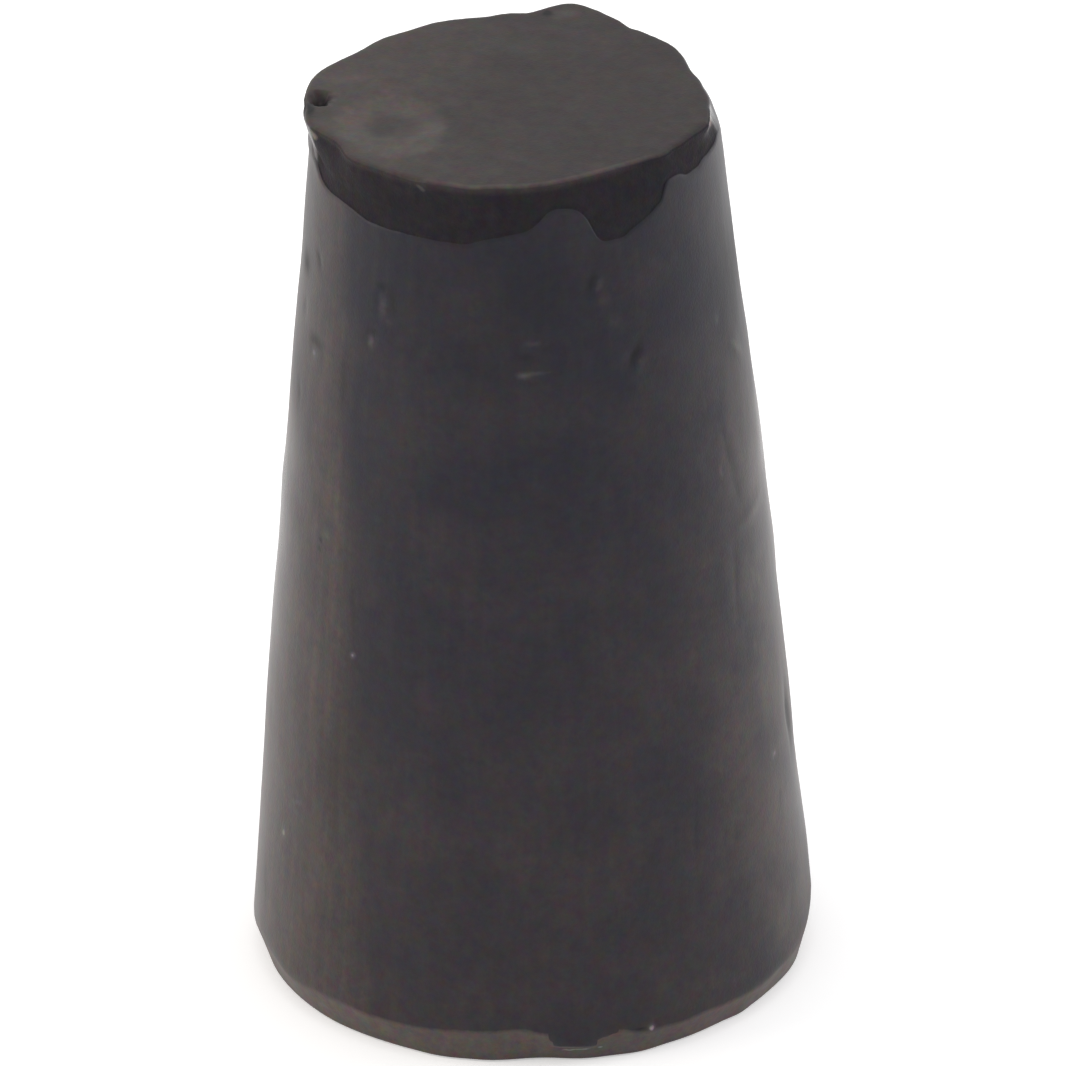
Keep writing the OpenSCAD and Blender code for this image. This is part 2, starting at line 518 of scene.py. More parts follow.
# Tints of the small face: X, Y, half width, half depth, lean, pale above 0 or dark below.
FACE_TINTS = (
    # Painted shade in the nick, and the dark strip in front of it.
    (-5.2, 0.12, 0.26, 0.42, 0, -2.0),
    (-5.5, -0.4, 0.17, 0.62, 0, -1.3),
    # The dried ring's dark core, and pale crust round it.
    (-3.65, -1.6, 0.5, 0.9, 0, -0.42),
    (-2.2, -2.1, 0.35, 0.9, 0, 0.28),
    (-2.7, -3.0, 0.6, 0.35, -30, 0.25),
    (-3.5, -3.35, 0.6, 0.3, 0, 0.22),
    (-3.5, 0.37, 0.7, 0.45, 0, 0.2),
    (-4.6, -1.5, 0.35, 0.7, 0, 0.12),
    (-4.58, -0.42, 0.18, 0.24, 0, 0.35),
    (-3.5, 0.5, 0.16, 0.22, 0, 0.35),
    # The back of the face.
    (-4.95, 1.4, 0.6, 0.7, 0, 0.38),
    (-4.35, 1.4, 0.7, 0.4, 0, 0.22),
    (-4.29, 1.36, 0.18, 0.24, 0, 0.3),
    (-2.26, 1.5, 0.6, 0.12, 30, -0.18),
    (-1.7, 1.1, 0.6, 0.12, 25, -0.15),
    (0.8, 5.05, 0.16, 0.26, 0, -1.6),
    (1.3, 5.0, 0.55, 0.45, 0, 0.45),
)

# The world's light on the scene, and the floor's own glow as the camera sees it, where 1 is white.
WORLD_LIGHT = 0.72
FLOOR_GLOW = 0.38
FLOOR_ROUGHNESS = 0.9
# How far the floor reaches to each side, in metres.
FLOOR_REACH = 1.0
# The lamps: name, place, width and height in metres, power in watts, colour. They face one point.
LAMPS = (
    ("left_box", (-0.35, -0.02, 0.12), 0.25, 0.3, 0.55, (1, 0.88, 0.76)),
    ("right_box", (0.35, 0.05, 0.14), 0.25, 0.3, 0.3, (1, 0.95, 0.99)),
    ("top_box", (0.0, 0.15, 0.4), 0.4, 0.3, 0.25, (1, 1, 1)),
)
LAMP_AIM = (0, 0, 0.012)


class StopperSizes(bpy.types.PropertyGroup):
    """Sizes of the moulding"""

    height: FloatProperty(
        name="Height",
        description="From the large face to the small face",
        default=HIGH.z - LOW.z,
        min=0.001,
        subtype="DISTANCE",
        unit="LENGTH",
    )
    large_radius: FloatProperty(
        name="Large radius",
        description="Radius at the top of the large end's bevel",
        default=(HIGH.x - LOW.x) / 2,
        min=0.001,
        subtype="DISTANCE",
        unit="LENGTH",
    )
    small_radius: FloatProperty(
        name="Small radius",
        description="Radius that the taper reaches at the small face",
        default=5.3 * MM,
        min=0.001,
        subtype="DISTANCE",
        unit="LENGTH",
    )
    bevel_height: FloatProperty(
        name="Bevel height",
        description="Height of the trimmed bevel round the large face",
        default=0.9 * MM,
        min=0,
        subtype="DISTANCE",
        unit="LENGTH",
    )
    bevel_inset: FloatProperty(
        name="Bevel inset",
        description="How far the bevel reaches in at the large face",
        default=0.35 * MM,
        min=0,
        subtype="DISTANCE",
        unit="LENGTH",
    )
    rim_offset: FloatProperty(
        name="Rim offset",
        description="How far the rim sits to the left of the axis",
        default=0.33 * MM,
        subtype="DISTANCE",
        unit="LENGTH",
    )
    bend: FloatProperty(
        name="Bend",
        description="How far the small end leans to the left",
        default=0.13 * MM,
        subtype="DISTANCE",
        unit="LENGTH",
    )
    lip_thickness: FloatProperty(
        name="Lip thickness",
        description="Thickness of the lip round the small face",
        default=0.2 * MM,
        min=0,
        subtype="DISTANCE",
        unit="LENGTH",
    )
    lip_round: FloatProperty(
        name="Lip rounding",
        description="Rounding of the lip's edges",
        default=0.09 * MM,
        min=0,
        subtype="DISTANCE",
        unit="LENGTH",
    )
    skin_thickness: FloatProperty(
        name="Skin thickness",
        description="How far the moulded skin stands proud of the torn band",
        default=0.05 * MM,
        min=0,
        subtype="DISTANCE",
        unit="LENGTH",
    )
    tear_depth: FloatProperty(
        name="Tear depth",
        description="Depth of the torn band below the small face, where it is deepest",
        default=1.8 * MM,
        min=0,
        subtype="DISTANCE",
        unit="LENGTH",
    )
    columns: IntProperty(
        name="Columns",
        description="Columns of the skin round the axis",
        default=416,
        min=24,
        max=440,
    )


def colour(name, description, default):
    """A colour property, as linear red, green and blue."""
    return FloatVectorProperty(
        name=name, description=description, default=default, size=3, min=0, max=1, subtype="COLOR"
    )


class RubberColours(bpy.types.PropertyGroup):
    """Colours of the rubber"""

    moulded: colour("Moulded skin", "The side as it came from the mould", (0.013, 0.012, 0.0208))
    # Also the colour of the painted sheen in the left and right patches of the side.
    bloom_and_sheen: colour("Bloom", "The pale film on the moulded skin", (0.09, 0.067, 0.057))
    torn: colour("Torn rubber", "The fresh rubber of the torn band", (0.0168, 0.0142, 0.0185))
    trimmed: colour("Trimmed bevel", "The knife-cut bevel of the large end", (0.092, 0.073, 0.068))
    face: colour("Small face", "The small face", (0.0268, 0.0204, 0.0206))
    # Also painted highlights on the lit sides of dents, scores and raised marks.
    scuff_and_highlight: colour("Scuffs", "Pale scuffs on the moulded skin", (0.07, 0.065, 0.063))
    # Painted shade in pits, scores and the nick, and the darker patches of the skin.
    shade_and_dark_patches: colour("Hollows", "The bottoms of pits and scores", (0.003, 0.003, 0.004))
    # Also painted highlights on the lip's sides and in the line under the tag.
    fleck_and_highlight: colour("Flecks", "Specks of pale dust", (0.3, 0.28, 0.27))
    # Also the paler parts of the small face, among them its painted highlight line inside the rim, and
    # the painted highlight along the lip's lower edge.
    stain_and_highlight: colour("Stain", "The pale ring in the dish of the small face", (0.085, 0.07, 0.064))


class StageSettings(bpy.types.PropertyGroup):
    """The floor, the light and the camera"""

    floor: colour("Floor", "Colour of the floor", (0.92, 0.92, 0.92))
    elevation: FloatProperty(
        name="Elevation",
        description="Angle of the camera above the level",
        default=math.radians(27.5),
        subtype="ANGLE",
        unit="ROTATION",
    )
    roll: FloatProperty(
        name="Roll",
        description="How far the camera leans to the right about its view",
        default=math.radians(1),
        subtype="ANGLE",
        unit="ROTATION",
    )
    distance: FloatProperty(
        name="Distance",
        description="From the camera to the middle of the stopper",
        default=0.5,
        min=0.05,
        subtype="DISTANCE",
        unit="LENGTH",
    )
    lens: FloatProperty(
        name="Lens",
        description="Focal length of the camera",
        default=635 * MM,
        min=0.001,
        subtype="DISTANCE",
        unit="LENGTH",
    )
    shift_x: FloatProperty(
        name="Shift right",
        description="Shift of the lens to the right, as a share of the frame",
        default=0.0062,
    )
    shift_y: FloatProperty(
        name="Shift up",
        description="Shift of the lens upwards, as a share of the frame",
        default=-0.0125,
    )


class Term:
    """A socket in an expression. Arithmetic on it adds Math nodes to its tree."""

    def __init__(self, tree, socket):
        self.tree = tree
        self.socket = socket

    def math(self, operation, *others):
        return self.tree.math(operation, self, *others)

    def __add__(self, other):
        return self.math("ADD", other)

    def __sub__(self, other):
        return self.math("SUBTRACT", other)

    def __mul__(self, other):
        return self.math("MULTIPLY", other)

    def __truediv__(self, other):
        return self.math("DIVIDE", other)

    def __pow__(self, other):
        return self.math("POWER", other)

    def __rsub__(self, other):
        return self.tree.math("SUBTRACT", other, self)

    __radd__ = __add__
    __rmul__ = __mul__

    def absolute(self):
        return self.math("ABSOLUTE")

    def clamped(self):
        """Kept between 0 and 1."""
        return self.tree.node("ShaderNodeClamp", {}, {"Value": self})

    def centred(self):
        """Noise from 0 to 1, moved to lie evenly about 0."""
        return self - 0.5

    def ramp(self, low, high, start=0.0, end=1.0):
        """A smooth step from start, at or below low, to end, at or above high."""
        return self.tree.node(
            "ShaderNodeMapRange",
            {"interpolation_type": "SMOOTHSTEP"},
            {"Value": self, "From Min": low, "From Max": high, "To Min": start, "To Max": end},
        )

    def fade(self, name):
        """A smooth step, by its name in FADES."""
        return self.ramp(*FADES[name])


class Tree:
    """Adds nodes to a node tree, each by its type, its settings and what its inputs take."""

    def __init__(self, node_tree):
        self.nodes = node_tree.nodes
        self.links = node_tree.links

    def node(self, kind, settings, inputs, output=0):
        made = self.nodes.new(kind)
        for name, value in settings.items():
            setattr(made, name, value)
        for key, value in inputs.items():
            self.feed(made.inputs[key], value)
        return Term(self, made.outputs[output])

    def feed(self, socket, value):
        if isinstance(value, Term):
            self.links.new(value.socket, socket)
        else:
            socket.default_value = value

    def math(self, operation, *values):
        return self.node("ShaderNodeMath", {"operation": operation}, dict(enumerate(values)))

    def vector(self, x, y, z):
        return self.node("ShaderNodeCombineXYZ", {}, {0: x, 1: y, 2: z})

    def parts(self, vector):
        """The three numbers of a vector."""
        first = self.node("ShaderNodeSeparateXYZ", {}, {0: vector})
        outputs = first.socket.node.outputs
        return [Term(self, socket) for socket in outputs]

    def vector_math(self, operation, *values):
        return self.node("ShaderNodeVectorMath", {"operation": operation}, dict(enumerate(values)))

    def scaled(self, vector, factor):
        settings = {"operation": "SCALE"}
        return self.node("ShaderNodeVectorMath", settings, {"Vector": vector, "Scale": factor})

    def noise(self, vector, name, output="Fac"):
        """Noise from 0 to 1, by its name in NOISES, or its colour."""
        size, seed, detail, roughness = NOISES[name]
        inputs = {"Vector": vector, "W": seed, "Scale": 1 / size, "Detail": detail}
        inputs["Roughness"] = roughness
        return self.node("ShaderNodeTexNoise", {"noise_dimensions": "4D"}, inputs, output)

    def swing(self, vector, name):
        """Noise in millimetres that lies evenly about 0, by its name in SWINGS."""
        return self.noise(vector, name).centred() * SWINGS[name]

    def mix(self, factor, a, b):
        """From colour a to colour b."""
        settings = {"data_type": "RGBA", "clamp_factor": True}
        return self.node("ShaderNodeMix", settings, {0: factor, 6: a, 7: b}, output=2)


def wrapped(bearing, centre):
    """How far a bearing is to the right of a centre, from -180 to 180 degrees."""
    return (bearing - centre).math("WRAP", 180, -180)


def swells(bearing, table):
    """The sum of the swells at a bearing in degrees."""
    total = 0.0
    for centre, half_width, change in table:
        share = (wrapped(bearing, centre).absolute() / half_width).math("MINIMUM", 1)
        total = total + ((share * math.pi).math("COSINE") + 1) * (change / 2)
    return total


def around(tree, place):
    """A place's bearing in degrees, its distance from the axis and its height."""
    x, y, z = tree.parts(place)
    return x.math("ARCTAN2", y * -1) * math.degrees(1), (x * x + y * y).math("SQRT"), z


def irregular(tree, place):
    """The place moved a little by noise, so that marks have uneven outlines."""
    wander = tree.noise(place, "outlines", output="Color")
    wander = tree.vector_math("SUBTRACT", wander, (0.5, 0.5, 0.5))
    return tree.vector_math("ADD", place, tree.scaled(wander, WANDER))


def oval(aside, up, half_width, half_height, lean):
    """1 in the middle of an oval patch, fading to almost nothing past its half width and height."""
    cosine, sine = math.cos(math.radians(lean)), math.sin(math.radians(lean))
    across = (aside * cosine - up * sine) / half_width
    along = (aside * sine + up * cosine) / half_height
    return ((across * across + along * along) * -2).math("EXPONENT")


def ovals(at, table):
    """The sum of the oval patches at a place on the side, with its lengths in millimetres."""
    bearing, radius, height = at
    total = 0.0
    for centre, level, half_width, half_height, lean, amount in table:
        aside = wrapped(bearing, centre) * radius * math.radians(1)
        total = total + oval(aside, height - level, half_width, half_height, lean) * amount
    return total


def ovals_on_face(x, y, table):
    """The sum of the oval patches at a place on the small face, in millimetres."""
    total = 0.0
    for across, deep, half_width, half_depth, lean, amount in table:
        total = total + oval(x - across, y - deep, half_width, half_depth, lean) * amount
    return total


def tear_share(tree, bearing):
    """The torn band's depth at a bearing in degrees, as a share of its deepest."""
    made = tree.node("ShaderNodeFloatCurve", {}, {"Value": bearing / 360 + 0.5})
    node = made.socket.node
    curve = node.mapping.curves[0]
    for at, share in TEAR_LINE[1:-1]:
        curve.points.new(at / 360 + 0.5, share)
    curve.points[0].location = (0, TEAR_LINE[0][1])
    curve.points[-1].location = (1, TEAR_LINE[-1][1])
    for point in curve.points:
        point.handle_type = "AUTO_CLAMPED"
    node.mapping.update()
    return made


def polar(bearing, radius):
    """X and Y of the point at a bearing in degrees and a distance from the axis."""
    angle = math.radians(bearing)
    return radius * math.sin(angle), -radius * math.cos(angle)


def skin_inputs(group, tree):
    """Gives the tree an input for each size and one for the material, and returns them by name."""
    kinds = {"FLOAT": "NodeSocketFloat", "INT": "NodeSocketInt"}
    sockets = {}
    for key, size in StopperSizes.bl_rna.properties.items():
        if key in StopperSizes.__annotations__:
            sockets[key] = group.interface.new_socket(
                name=size.name, in_out="INPUT", socket_type=kinds[size.type]
            )
            sockets[key].description = size.description
    sockets["material"] = group.interface.new_socket(
        name="Material", in_out="INPUT", socket_type="NodeSocketMaterial"
    )
    group.interface.new_socket(name="Skin", in_out="OUTPUT", socket_type="NodeSocketGeometry")
    entry = tree.nodes.new("NodeGroupInput")
    terms = {}
    for key, socket in sockets.items():
        terms[key] = Term(tree, entry.outputs[socket.name])
        if key not in ("material", "columns"):
            terms[key] = terms[key] / MM
    return sockets, terms


def skin_grid(tree, size):
    """A flat grid, with the bearing of each point and its share of the way from ring to ring."""
    rows = sum(ROWS.values())
    grid = tree.node(
        "GeometryNodeMeshGrid",
        {},
        {"Size X": 1.0, "Size Y": 1.0, "Vertices X": size["columns"] + 1, "Vertices Y": rows + 1},
    )
    across, along, _ = tree.parts(tree.node("GeometryNodeInputPosition", {}, {}))
    row = (along + 0.5) * rows
    share = {}
    start = 0
    for name, count in ROWS.items():
        share[name] = ((row - start) / count).clamped()
        start += count
    share["side"] = share["side"] * (1 + ROW_CROWDING - share["side"] * ROW_CROWDING)
    return grid, across * 360, share


def skin_rings(tree, size, bearing, way, banded):
    """The radius and height of each ring, in the order of ROWS, in millimetres."""
    taper = (size["small_radius"] - size["large_radius"]) / (size["height"] - size["bevel_height"])

    def side_radius(height):
        return size["large_radius"] + taper * (height - size["bevel_height"])

    foot_radius = size["large_radius"] - size["bevel_inset"] + swells(bearing, FOOT_SWELLS)
    bevel_top = size["bevel_height"] + swells(bearing, BEVEL_SWELLS) + tree.swing(way, "bevel_line")
    torn_depth = size["tear_depth"] * tear_share(tree, bearing)
    tear = size["height"] - torn_depth + tree.swing(way, "tear_line")
    recess = size["skin_thickness"] * banded
    low_edge = tear + recess * EDGE_SLOPE
    lip_low = size["height"] - size["lip_thickness"]
    waist = lip_low + (tear - lip_low) * WAIST_SHARE
    waist_radius = side_radius(waist) + swells(bearing, WAIST_SWELLS)
    rim_radius = size["small_radius"] + swells(bearing, RIM_SWELLS) + tree.swing(way, "rim_line")
    return (
        (0.0, 0.0),
        (foot_radius, 0.0),
        (side_radius(bevel_top), bevel_top),
        (side_radius(tear), tear),
        (side_radius(low_edge) - recess, low_edge),
        (waist_radius - recess, waist),
        (rim_radius - size["lip_round"] * LIP_TUCK, lip_low),
        (rim_radius, lip_low + size["lip_round"]),
        (rim_radius, size["height"] - size["lip_round"]),
        (rim_radius - size["lip_round"], size["height"]),
        (0.0, size["height"]),
    )


def tag_share(bearing, height, up_side):
    """1 on the tag that trimming left on the bevel, and 0 off it."""
    flare = height.ramp(TAG_FLARE, TAG_TOP)
    off_middle = wrapped(bearing, TAG_BEARING + flare * TAG_LEAN)
    inside = TAG_SPAN / 2 + flare * (TAG_SPREAD / 2) - off_middle.absolute()
    above = height - (TAG_BOTTOM - off_middle * TAG_TILT)
    return inside.fade("tag_ends") * above.fade("tag_under") * (1 - up_side.fade("tag_over"))


def skin_tree():
    """The tree that shapes the moulding: a grid wrapped round the axis, from ring to ring."""
    group = bpy.data.node_groups.new("stopper skin", "GeometryNodeTree")
    tree = Tree(group)
    sockets, size = skin_inputs(group, tree)
    geometry, bearing, share = skin_grid(tree, size)
    angle = bearing * math.radians(1)
    way = tree.vector(angle.math("SINE"), angle.math("COSINE") * -1, 0)
    banded = 1 - swells(bearing, TEAR_GAPS).clamped()
    rings = skin_rings(tree, size, bearing, way, banded)

    # Each row lies between two rings. The torn band curves out to the lip.
    radius = 0.0
    height = 0.0
    for before, after, name in zip(rings, rings[1:], ROWS):
        outward = share[name] ** 2 if name == "torn_high" else share[name]
        radius = radius + outward * (after[0] - before[0])
        height = height + share[name] * (after[1] - before[1])
    on_tag = tag_share(bearing, height, share["side"])
    radius = radius + on_tag * (size["large_radius"] - radius)

    bent = (height - BEND_START).math("MAXIMUM", 0) / (size["height"] - BEND_START)
    bend = size["bend"] * bent * bent
    shift = bend + share["torn_high"] * (size["rim_offset"] - bend)
    place = tree.vector_math("MULTIPLY", way, tree.vector(radius, radius, 0))
    place = tree.vector_math("ADD", place, tree.vector(shift * -1, 0, height))

    # How far a place is past each edge, in millimetres, which the material reads too.
    bevel_top, tear = rings[2][1], rings[3][1]
    past = {
        "past_trim": height - bevel_top + share["side"] * PAST_SIDE + on_tag,
        "past_tear": height - tear + share["skin_edge"] * PAST_SKIN,
        "past_rim": (share["lip_edge"] - BEFORE_LIP) * PAST_LIP + share["small_face"] * PAST_FACE,
        "torn_share": share["skin_edge"] * banded,
    }
    for name, value in past.items():
        geometry = stored(tree, geometry, name, value)
    place = tree.scaled(place, MM)
    geometry = tree.node(
        "GeometryNodeSetPosition", {}, {"Geometry": geometry, "Position": place}
    )
    geometry = tree.node(
        "GeometryNodeMergeByDistance", {}, {"Geometry": geometry, "Distance": MERGE_DISTANCE * MM}
    )
    geometry = worn(tree, geometry, size)
    geometry = tree.node("GeometryNodeSetShadeSmooth", {}, {"Geometry": geometry})
    geometry = tree.node("GeometryNodeRealizeInstances", {}, {"Geometry": geometry})
    geometry = tree.node(
        "GeometryNodeSetMaterial", {}, {"Geometry": geometry, "Material": size["material"]}
    )
    tree.links.new(geometry.socket, tree.nodes.new("NodeGroupOutput").inputs[0])
    return group, sockets


def stored(tree, geometry, name, value):
    """The geometry with a number stored at each point, under a name that the material reads."""
    return tree.node(
        "GeometryNodeStoreNamedAttribute",
        {"data_type": "FLOAT", "domain": "POINT"},
        {"Geometry": geometry, "Name": name, "Value": value},
    )


def named(tree, name):
    """A stored number, read back in a geometry tree."""
    return tree.node("GeometryNodeInputNamedAttribute", {"data_type": "FLOAT"}, {"Name": name})


def worn(tree, geometry, size):
    """The skin with its edges eased, and its waves, pits, dish, nick and torn grain pressed in."""
    position = tree.node("GeometryNodeInputPosition", {}, {})
    eased = tree.node(
        "GeometryNodeBlurAttribute",
        {"data_type": "FLOAT_VECTOR"},
        {"Value": position, "Iterations": 1, "Weight": 0.5},
    )
    geometry = tree.node(
        "GeometryNodeSetPosition", {}, {"Geometry": geometry, "Position": eased}
    )

    place = tree.scaled(position, 1 / MM)
    x, y, z = tree.parts(place)
    on_side = named(tree, "past_trim").fade("above_bevel") * named(tree, "past_tear").fade("below_tear")
    on_face = named(tree, "past_rim").fade("on_face")
    off_face = 1 - on_face

    rise = tree.swing(place, "broad_waves") + tree.swing(place, "small_waves")
    rise = (rise + ovals(around(tree, place), SIDE_SWELLS)) * on_side
    rise = rise + ovals(around(tree, irregular(tree, place)), SIDE_PITS) * off_face
    rise = rise + tree.swing(place, "torn_grain") * named(tree, "torn_share") * off_face

    middle_x, middle_y = polar(DISH_BEARING, DISH_DISTANCE)
    aside = x - middle_x
    along = y - middle_y
    dish = (1 - (aside * aside + along * along) / DISH_RADIUS**2).ramp(0, 1) * DISH_DEPTH
    rise = rise + (tree.swing(place, "face_waves") - dish) * on_face
    rise = rise * z.fade("off_foot")

    middle_x, middle_y = polar(NICK_BEARING, NICK_DISTANCE)
    aside = (x - middle_x) / NICK_WIDTH
    along = (y - middle_y) / NICK_LENGTH
    nick = (1 - aside * aside - along * along).fade("nick")
    nick = nick * (z - size["height"] + NICK_WIDTH).ramp(0, NICK_WIDTH)
    normal = tree.node("GeometryNodeInputNormal", {}, {})
    offset = tree.vector_math(
        "ADD", tree.scaled(normal, rise * MM), tree.vector(0, 0, nick * (-NICK_DEPTH * MM))
    )
    return tree.node("GeometryNodeSetPosition", {}, {"Geometry": geometry, "Offset": offset})


def attribute(tree, name):
    """A stored number, read in a material."""
    return tree.node("ShaderNodeAttribute", {"attribute_name": name}, {}, output="Fac")


def rgba(value):
    return (*value, 1.0)


def bloom_and_sheen_share(at, cloud, streaks):
    """How pale the moulded skin is: bloom in soft clouds and upright streaks, paler towards the foot,
    and bloom with painted sheen in the left and right patches.
    """
    bearing, _, z = at
    # The left and right patches paint the sheen of the side's edges onto the bloom.
    edge = LEFT_SHEEN_EDGE - z * LEFT_SHEEN_SLOPE
    off_left = wrapped(bearing, LEFT_SHEEN_PATCH)
    left = off_left.ramp(edge + LEFT_SHEEN_OVER, edge - LEFT_SHEEN_INSIDE) * off_left.fade("left_sheen_back")
    left = left * z.fade("left_sheen_top")
    right = wrapped(bearing, RIGHT_SHEEN_PATCH).absolute().fade("right_sheen_width") * z.fade("right_sheen_top")
    bloom_and_sheen = cloud.fade("cloud_bloom") * BLOOM_AND_SHEEN["clouds"] + streaks.fade("streak_bloom") * BLOOM_AND_SHEEN["streaks"]
    # Paler towards the foot.
    bloom_and_sheen = bloom_and_sheen + z.fade("paler_towards_foot")
    bloom_and_sheen = bloom_and_sheen + left * (BLOOM_AND_SHEEN["left"] + streaks.fade("left_sheen_streaks") * BLOOM_AND_SHEEN["left_sheen_streaks"])
    return bloom_and_sheen + right * cloud.fade("right_sheen_clouds") * BLOOM_AND_SHEEN["right"]


def face_colour(tree, colours, place, moved, past_rim, cloud):
    """The small face, paler to the left, with the dried ring in its dish and a painted highlight line
    inside the front rim.
    """
    x, y, _ = tree.parts(place)
    bearing = around(tree, place)[0]
    aside = (x - STAIN_MIDDLE[0]) / STAIN_SIZE[0]
    along = (y - STAIN_MIDDLE[1]) / STAIN_SIZE[1]
    off = (aside * aside + along * along).math("SQRT")
    off = off + tree.noise(place, "ring").centred() * STAIN_WANDER
    # A painted highlight line just inside the front of the rim.
    line = past_rim.fade("rim_highlight_outside") * past_rim.fade("rim_highlight_inside")
    tones = {
        "left": x.fade("face_left"),
        "clouds": cloud.centred(),
        "blotches": tree.noise(place, "blotches").centred(),
        "back": y.fade("face_back"),
        "line": line * wrapped(bearing, RIM_HIGHLIGHT_BEARING).absolute().fade("rim_highlight_width"),
        "ring": off.fade("ring_inside") * off.fade("ring_outside"),
    }
    paler = sum(tone * FACE_TONES[name] for name, tone in tones.items())
    spot_x, spot_y, _ = tree.parts(moved)
    tint = ovals_on_face(spot_x, spot_y, FACE_TINTS)
    colour_here = tree.mix(paler.clamped(), rgba(colours.face), rgba(colours.stain_and_highlight))
    # The face's tints: the ring's crust and core, and painted shade in the nick.
    colour_here = tree.mix(tint.math("MAXIMUM", 0).clamped(), colour_here, rgba(colours.stain_and_highlight))
    return tree.mix((tint * -1).clamped(), colour_here, rgba(colours.shade_and_dark_patches))


def rubber(colours):
    """Black rubber: a bloomed skin, a fresh torn band, and trimmed faces."""
    material = bpy.data.materials.new("black_rubber")
    material.use_nodes = True
    tree = Tree(material.node_tree)
    tree.nodes.clear()
    place = tree.scaled(tree.node("ShaderNodeTexCoord", {}, {}, output="Object"), 1 / MM)
    moved = irregular(tree, place)
    at = around(tree, place)
    bearing, _, z = at
    fine = tree.noise(place, "fine")
    cloud = tree.noise(place, "clouds")
    upright = tree.vector_math("MULTIPLY", place, tree.vector(1, 1, STREAK_STRETCH))
    streaks = tree.noise(upright, "streaks")

    # How much each place is torn, small face or trimmed. The rest is moulded skin.
    past_rim = attribute(tree, "past_rim")
    face = past_rim.fade("face")
    torn = (attribute(tree, "past_tear") + fine.centred() * TEAR_BLUR).fade("torn")
    torn = torn * attribute(tree, "torn_share").fade("torn_share") * (1 - face)
    trimmed = (attribute(tree, "past_trim") + fine.centred() * TRIM_BLUR).fade("trimmed")

    # Tints of the side: stains, scuffs and flecks, with painted shade in pits, scores and the nick and
    # painted highlights on marks and edges.
    tint = ovals(around(tree, moved), SIDE_TINTS)
    # Bloom, with painted sheen in the left and right patches.
    bloom_and_sheen = bloom_and_sheen_share(at, cloud, streaks)
    base = tree.mix(bloom_and_sheen.clamped(), rgba(colours.moulded), rgba(colours.bloom_and_sheen))
    base = tree.mix(tint.clamped(), base, rgba(colours.scuff_and_highlight))
    base = tree.mix(trimmed, base, rgba(colours.trimmed))
    # A painted highlight along the lip's lower edge, left out on a stretch to the right, and dust in the
    # torn band, both in the stain's colour.
    lip_lit = wrapped(bearing, UNLIT_BEARING).absolute().fade("unlit_stretch")
    dust = z.fade("lip_highlight") * lip_lit * LIP_HIGHLIGHT
    dust = dust + tree.noise(place, "dust").fade("band_dust") * BAND_DUST
    base = tree.mix(torn, base, tree.mix(dust, rgba(colours.torn), rgba(colours.stain_and_highlight)))
    # Painted shade in pits, scores and the nick and darker patches, then pale dust flecks and painted
    # highlights on the lip and under the tag.
    base = tree.mix((tint * -1).clamped(), base, rgba(colours.shade_and_dark_patches))
    base = tree.mix((tint - 1).clamped(), base, rgba(colours.fleck_and_highlight))
    base = tree.mix(face, base, face_colour(tree, colours, place, moved, past_rim, cloud))
    mottle = tree.noise(place, "mottle", output="Color")
    mottle = tree.vector_math("ADD", tree.scaled(mottle, MOTTLE), ((1 - MOTTLE / 2),) * 3)
    base = tree.vector_math("MULTIPLY", base, mottle)

    polish = ovals(at, SIDE_POLISH) * (1 - face)
    roughness = ROUGHNESS["skin"] - polish + streaks.centred() * ROUGHNESS["streaks"]
    roughness = roughness + torn * ROUGHNESS["torn"] + face * ROUGHNESS["face"]
    roughness = roughness + trimmed * ROUGHNESS["trimmed"]
    relief = tree.noise(place, "grain") * (1 + torn * TORN_BUMP)
    relief = relief + streaks * (1 - torn) * (1 - face) * STREAK_BUMP
    normal = tree.node(
        "ShaderNodeBump",
        {},
        {"Strength": BUMP_STRENGTH, "Distance": BUMP_DEPTH * MM, "Height": relief},
    )
    shader = tree.node(
        "ShaderNodeBsdfPrincipled",
        {},
        {
            "Base Color": base,
            "Roughness": roughness,
            "Normal": normal,
            "Specular IOR Level": SPECULAR,
        },
    )
    output = tree.nodes.new("ShaderNodeOutputMaterial")
    tree.links.new(shader.socket, output.inputs["Surface"])
    return material


class STOPPER_OT_moulding(bpy.types.Operator):
    """Make the stopper's moulding in place of its plain model"""

    bl_idname = "stopper.moulding"
    bl_label = "Moulding"

    def execute(self, context):
        scene = context.scene
        piece = bpy.data.objects.new("moulding", bpy.data.meshes.new("moulding"))
        scene.collection.objects.link(piece)
        group, sockets = skin_tree()
        modifier = piece.modifiers.new("skin", "NODES")
        modifier.node_group = group
        for key, socket in sockets.items():
            if key != "material":
                modifier[socket.identifier] = getattr(scene.stopper_sizes, key)
        modifier[sockets["material"].identifier] = rubber(scene.rubber_colours)
        graph = context.evaluated_depsgraph_get()
        mesh = bpy.data.meshes.new_from_object(
            piece.evaluated_get(graph), preserve_all_data_layers=True, depsgraph=graph
        )
        piece.modifiers.remove(modifier)
        piece.data = mesh
        if not mesh.polygons:
            raise RuntimeError("the skin came out empty")
        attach(piece, "root")
        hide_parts(NODE)
        return {"FINISHED"}


def seen(tree):
    """1 for a ray from the camera, straight or by way of gloss or glass, and 0 for other light."""
    path = tree.nodes.new("ShaderNodeLightPath")
    camera, gloss, glass = (
        Term(tree, path.outputs[f"Is {kind} Ray"]) for kind in ("Camera", "Glossy", "Transmission")
    )
    return camera.math("MAXIMUM", gloss).math("MAXIMUM", glass)


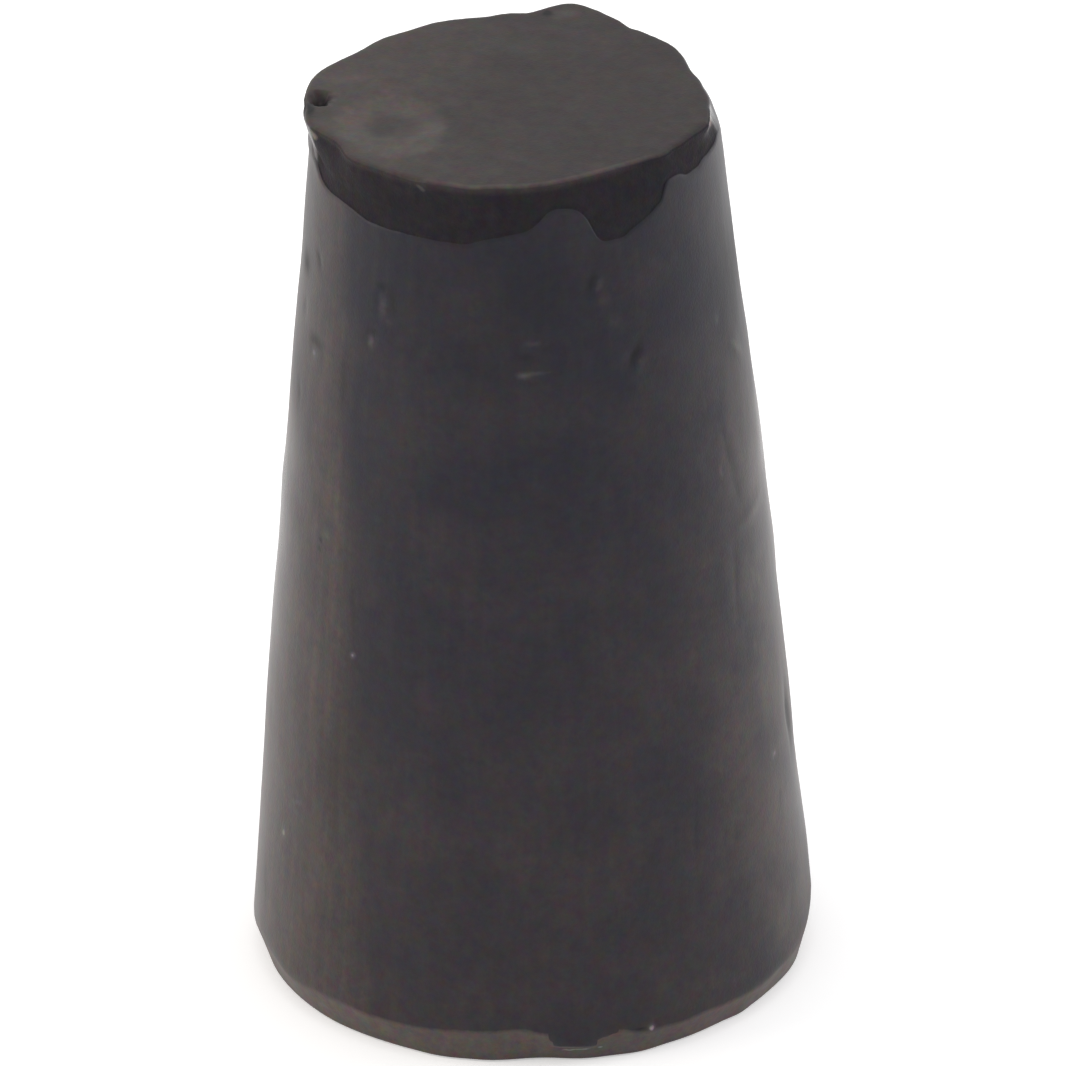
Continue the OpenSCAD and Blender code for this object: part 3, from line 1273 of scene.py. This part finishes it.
def soft_box(name, place, width, height, power, tint):
    """A rectangular lamp that faces the stopper's middle."""
    lamp = bpy.data.lights.new(name, "AREA")
    lamp.shape = "RECTANGLE"
    lamp.size = width
    lamp.size_y = height
    lamp.energy = power
    lamp.color = tint
    holder = bpy.data.objects.new(name, lamp)
    holder.location = place
    holder.rotation_euler = (Vector(LAMP_AIM) - Vector(place)).to_track_quat("-Z", "Y").to_euler()
    bpy.context.scene.collection.objects.link(holder)


class STOPPER_OT_stage(bpy.types.Operator):
    """Make the floor, the lamps and the camera"""

    bl_idname = "stopper.stage"
    bl_label = "Stage"

    def execute(self, context):
        stage = context.scene.stage_settings
        middle = Vector((0, 0, (LOW.z + HIGH.z) / 2))
        self.make_floor(stage)
        self.make_light()
        self.make_camera(stage, middle)
        context.scene.view_settings.view_transform = "Standard"
        return {"FINISHED"}

    def make_floor(self, stage):
        ways = ((-1, -1), (1, -1), (1, 1), (-1, 1))
        corners = [(x * FLOOR_REACH, y * FLOOR_REACH, LOW.z) for x, y in ways]
        mesh = bpy.data.meshes.new("floor")
        mesh.from_pydata(corners, [], [(0, 1, 2, 3)])
        floor = bpy.data.objects.new("floor", mesh)
        bpy.context.scene.collection.objects.link(floor)
        material = bpy.data.materials.new("floor")
        material.use_nodes = True
        shader = material.node_tree.nodes["Principled BSDF"]
        shader.inputs["Base Color"].default_value = rgba(stage.floor)
        shader.inputs["Roughness"].default_value = FLOOR_ROUGHNESS
        shader.inputs["Specular IOR Level"].default_value = 0.0
        shader.inputs["Emission Strength"].default_value = FLOOR_GLOW
        tree = Tree(material.node_tree)
        glow = tree.mix(seen(tree), (0, 0, 0, 1), (1, 1, 1, 1))
        tree.feed(shader.inputs["Emission Color"], glow)
        mesh.materials.append(material)

    def make_light(self):
        world = bpy.data.worlds.new("studio")
        bpy.context.scene.world = world
        world.use_nodes = True
        tree = Tree(world.node_tree)
        tree.nodes.clear()
        strength = WORLD_LIGHT + seen(tree) * (1 - WORLD_LIGHT)
        light = tree.node(
            "ShaderNodeBackground", {}, {"Color": (1, 1, 1, 1), "Strength": strength}
        )
        output = tree.nodes.new("ShaderNodeOutputWorld")
        tree.links.new(light.socket, output.inputs["Surface"])
        for lamp in LAMPS:
            soft_box(*lamp)

    def make_camera(self, stage, middle):
        lens = bpy.data.cameras.new("camera")
        lens.lens = stage.lens / MM
        lens.shift_x = stage.shift_x
        lens.shift_y = stage.shift_y
        camera = bpy.data.objects.new("camera", lens)
        back = Vector((0, -math.cos(stage.elevation), math.sin(stage.elevation)))
        right = Vector((1, 0, 0))
        up = back.cross(right)
        turn = Matrix((right, up, back)).transposed() @ Matrix.Rotation(-stage.roll, 3, "Z")
        camera.matrix_world = Matrix.Translation(middle + back * stage.distance) @ turn.to_4x4()
        bpy.context.scene.collection.objects.link(camera)
        bpy.context.scene.camera = camera


class STOPPER_PT_panel(bpy.types.Panel):
    """The stopper's tools"""

    bl_label = "Stopper"
    bl_idname = "STOPPER_PT_panel"
    bl_space_type = "VIEW_3D"
    bl_region_type = "UI"
    bl_category = "Stopper"

    def draw(self, context):
        scene = context.scene
        for settings in (scene.stopper_sizes, scene.rubber_colours, scene.stage_settings):
            box = self.layout.box()
            for key in type(settings).__annotations__:
                box.prop(settings, key)
        for operator in OPERATORS:
            self.layout.operator(operator.bl_idname)


OPERATORS = (STOPPER_OT_moulding, STOPPER_OT_stage)
CLASSES = (StopperSizes, RubberColours, StageSettings, *OPERATORS, STOPPER_PT_panel)


def register():
    for cls in CLASSES:
        bpy.utils.register_class(cls)
    bpy.types.Scene.stopper_sizes = PointerProperty(type=StopperSizes)
    bpy.types.Scene.rubber_colours = PointerProperty(type=RubberColours)
    bpy.types.Scene.stage_settings = PointerProperty(type=StageSettings)


def unregister():
    del bpy.types.Scene.stage_settings
    del bpy.types.Scene.rubber_colours
    del bpy.types.Scene.stopper_sizes
    for cls in reversed(CLASSES):
        bpy.utils.unregister_class(cls)


def main():
    register()
    bpy.ops.stopper.moulding()
    bpy.ops.stopper.stage()


if __name__ == "__main__":
    main()
